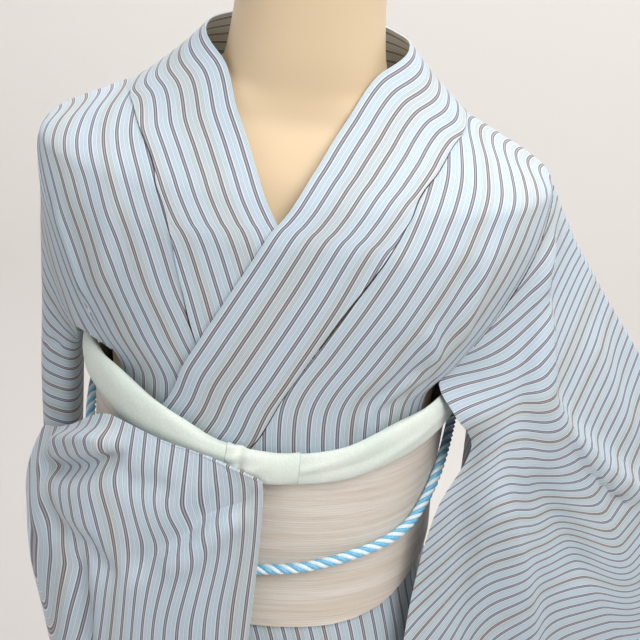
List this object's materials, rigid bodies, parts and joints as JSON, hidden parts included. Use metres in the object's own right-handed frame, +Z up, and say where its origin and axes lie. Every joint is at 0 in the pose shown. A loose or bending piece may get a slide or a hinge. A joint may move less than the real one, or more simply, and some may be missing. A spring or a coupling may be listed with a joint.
{
  "type": "kimono on a limbless dress form",
  "caption": "Striped kimono with its belt, padded scarf and twisted cord, worn closed on a limbless dress form that stands on a pole with a round base.",
  "frame": {"origin": "centre of the base's underside, on the floor under the pole", "axes": "+Z up, +X towards the wearer's left, the front faces -Y"},
  "size_m": [0.596, 0.3746, 1.4933],
  "materials": {
    "kimono_cloth": "thin smooth silk-like weave, pale blue-grey with fine plum and white stripes",
    "obi_cloth": "stiff cream weave with faint level ribs",
    "scarf_cloth": "soft pale mint crepe, padded",
    "cord_silk": "twisted light blue and white silk cord with a slight sheen",
    "form_skin": "smooth matt cream cover",
    "stand_metal": "satin light grey paint"
  },
  "bodies": {
    "root": {"body_left": "kimono_cloth", "body_right": "kimono_cloth", "collar": "kimono_cloth", "skirt_back_left": "kimono_cloth", "skirt_back_right": "kimono_cloth", "skirt_front_right": "kimono_cloth", "okumi_right": "kimono_cloth", "skirt_front_left": "kimono_cloth", "okumi_left": "kimono_cloth", "sleeve_left": "kimono_cloth", "sleeve_right": "kimono_cloth", "sleeve_right_fore": "kimono_cloth", "obi": "obi_cloth", "obi_drum": "obi_cloth", "obiage": "scarf_cloth", "obiage_knot": "scarf_cloth", "obijime": "cord_silk", "obijime_knot": "cord_silk", "form": "form_skin", "form_cap": "stand_metal", "form_pole": "stand_metal", "form_base": "stand_metal"}
  },
  "joints": []
}
